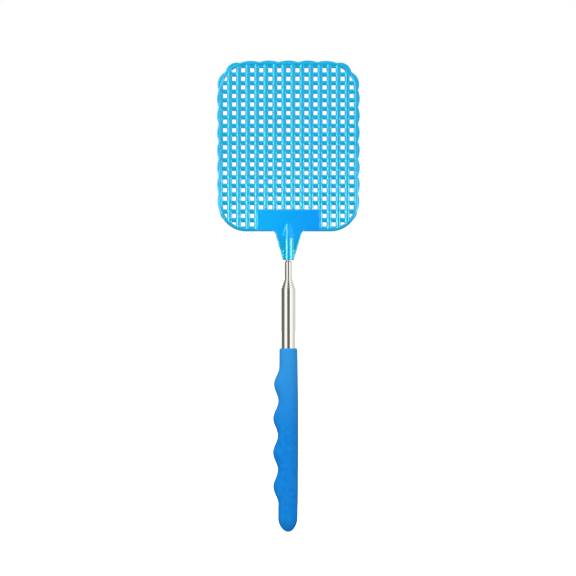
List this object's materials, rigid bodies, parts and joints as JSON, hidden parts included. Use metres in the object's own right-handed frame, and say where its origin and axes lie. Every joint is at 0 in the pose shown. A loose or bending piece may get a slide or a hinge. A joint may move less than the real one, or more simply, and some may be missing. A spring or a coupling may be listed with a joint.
{
  "type": "fly swatter",
  "caption": "Hand-held swatter: square-mesh plastic head with a scalloped edge and tapered neck on a telescoping steel pole, with a soft grip with finger bumps.",
  "frame": {"origin": "middle of the grip's length, on the pole's axis, where the hand holds it", "axes": "+Z along the pole towards the head, -Y out of the head's front, and the finger bumps face -X"},
  "size_m": [0.0848, 0.0122, 0.2797],
  "materials": {
    "head_plastic": "glossy, slightly translucent cyan-blue moulding",
    "tube_steel": "polished stainless steel tube",
    "stud_steel": "drawn steel rod",
    "bush_brass": "turned brass",
    "spring_bronze": "phosphor bronze strip",
    "plug_plastic": "moulded nylon",
    "grip_rubber": "soft matte skin with a fine mottled texture"
  },
  "bodies": {
    "handle": {"grip": "grip_rubber", "base_plug": "plug_plastic", "tube_1": "tube_steel"},
    "slider_2": {"friction_spring_2": "spring_bronze"},
    "section_2": {"tube_2": "tube_steel", "foot_bush_2": "bush_brass"},
    "slider_3": {"friction_spring_3": "spring_bronze"},
    "section_3": {"tube_3": "tube_steel", "foot_bush_3": "bush_brass"},
    "slider_4": {"friction_spring_4": "spring_bronze"},
    "section_4": {"tube_4": "tube_steel", "foot_bush_4": "bush_brass"},
    "slider_5": {"friction_spring_5": "spring_bronze"},
    "section_5": {"tube_5": "tube_steel", "foot_bush_5": "bush_brass", "head_stud": "stud_steel", "swatter_head": "head_plastic"}
  },
  "joints": [
    {"name": "section_2_slide", "type": "slide", "parent": "handle", "child": "slider_2", "axis": [0, 0, 1], "range_m": [0, 0.117]},
    {"name": "section_2_turn", "type": "hinge", "parent": "slider_2", "child": "section_2", "pos_m": [0, 0, 0], "axis": [0, 0, 1], "continuous": true},
    {"name": "section_3_slide", "type": "slide", "parent": "section_2", "child": "slider_3", "axis": [0, 0, 1], "range_m": [0, 0.114]},
    {"name": "section_3_turn", "type": "hinge", "parent": "slider_3", "child": "section_3", "pos_m": [0, 0, 0], "axis": [0, 0, 1], "continuous": true},
    {"name": "section_4_slide", "type": "slide", "parent": "section_3", "child": "slider_4", "axis": [0, 0, 1], "range_m": [0, 0.111]},
    {"name": "section_4_turn", "type": "hinge", "parent": "slider_4", "child": "section_4", "pos_m": [0, 0, 0], "axis": [0, 0, 1], "continuous": true},
    {"name": "section_5_slide", "type": "slide", "parent": "section_4", "child": "slider_5", "axis": [0, 0, 1], "range_m": [0, 0.108]},
    {"name": "section_5_turn", "type": "hinge", "parent": "slider_5", "child": "section_5", "pos_m": [0, 0, 0], "axis": [0, 0, 1], "continuous": true}
  ]
}
